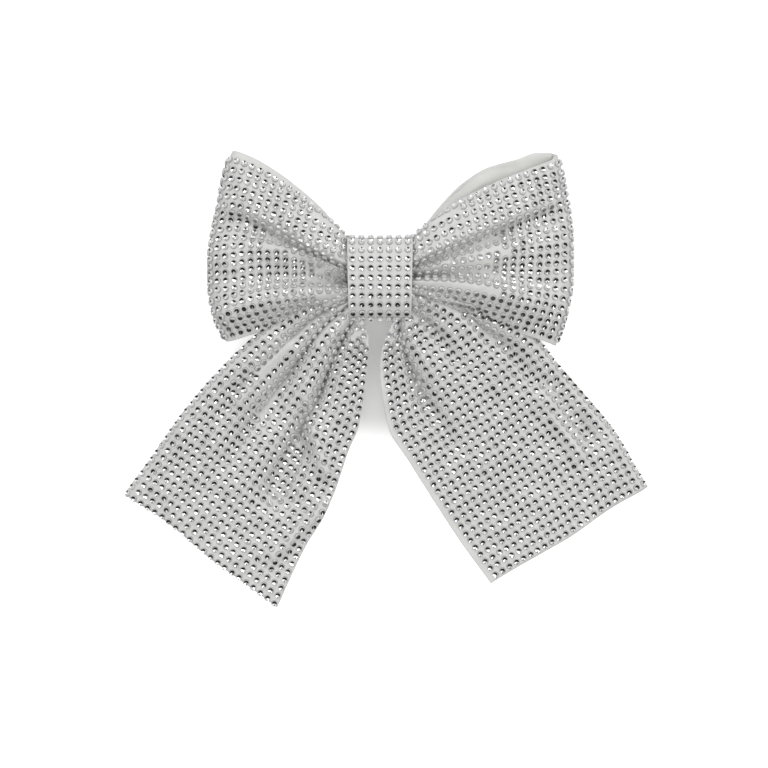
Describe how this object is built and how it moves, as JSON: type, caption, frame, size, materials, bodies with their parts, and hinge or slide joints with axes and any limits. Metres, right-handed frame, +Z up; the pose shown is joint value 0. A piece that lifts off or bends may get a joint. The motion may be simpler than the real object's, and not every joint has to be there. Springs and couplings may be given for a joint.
{
  "type": "ribbon bow brooch",
  "caption": "Gathered satin ribbon bow set all over with small flat-backed crystals: two loops, a knot band and two tails, on a safety bar pin with a turning catch.",
  "frame": {"origin": "the middle of the pin stem's shank, on its axis", "axes": "+X along the stem from its hinge to its point, to the viewer's right; +Y from the bow's front into the garment; +Z up as worn"},
  "size_m": [0.159, 0.0218, 0.1365],
  "materials": {
    "studded_satin": "satin weave under crystals",
    "satin_lining": "satin",
    "crystal": "faceted, silver-foiled back",
    "thread": "matt",
    "glue": "waxy",
    "felt": "felt",
    "nickel_plate": "nickel plated, lightly brushed",
    "steel_wire": "drawn and polished"
  },
  "bodies": {
    "bow": {"loop_left_face": "studded_satin", "loop_left_lining": "satin_lining", "tail_left_face": "studded_satin", "tail_left_lining": "satin_lining", "loop_right_face": "studded_satin", "loop_right_lining": "satin_lining", "tail_right_face": "studded_satin", "tail_right_lining": "satin_lining", "knot_band_face": "studded_satin", "knot_band_lining": "satin_lining", "binding_thread": "thread", "knot_rhinestones": "crystal", "band_glue": "glue", "felt_pad": "felt", "bar_glue": "glue", "pin_bar": "nickel_plate", "hinge_rivet": "nickel_plate"},
    "stem": {"pin_stem": "steel_wire"},
    "sleeve": {"catch_rotor": "nickel_plate"}
  },
  "joints": [
    {"name": "pin_swing", "type": "hinge", "parent": "bow", "child": "stem", "pos_m": [-0.016, 0, 0], "axis": [0, 0, 1], "range_deg": [0, 95]},
    {"name": "catch_turn", "type": "hinge", "parent": "bow", "child": "sleeve", "pos_m": [0.0158, 0, 0], "axis": [1, 0, 0], "range_deg": [0, 150]}
  ]
}
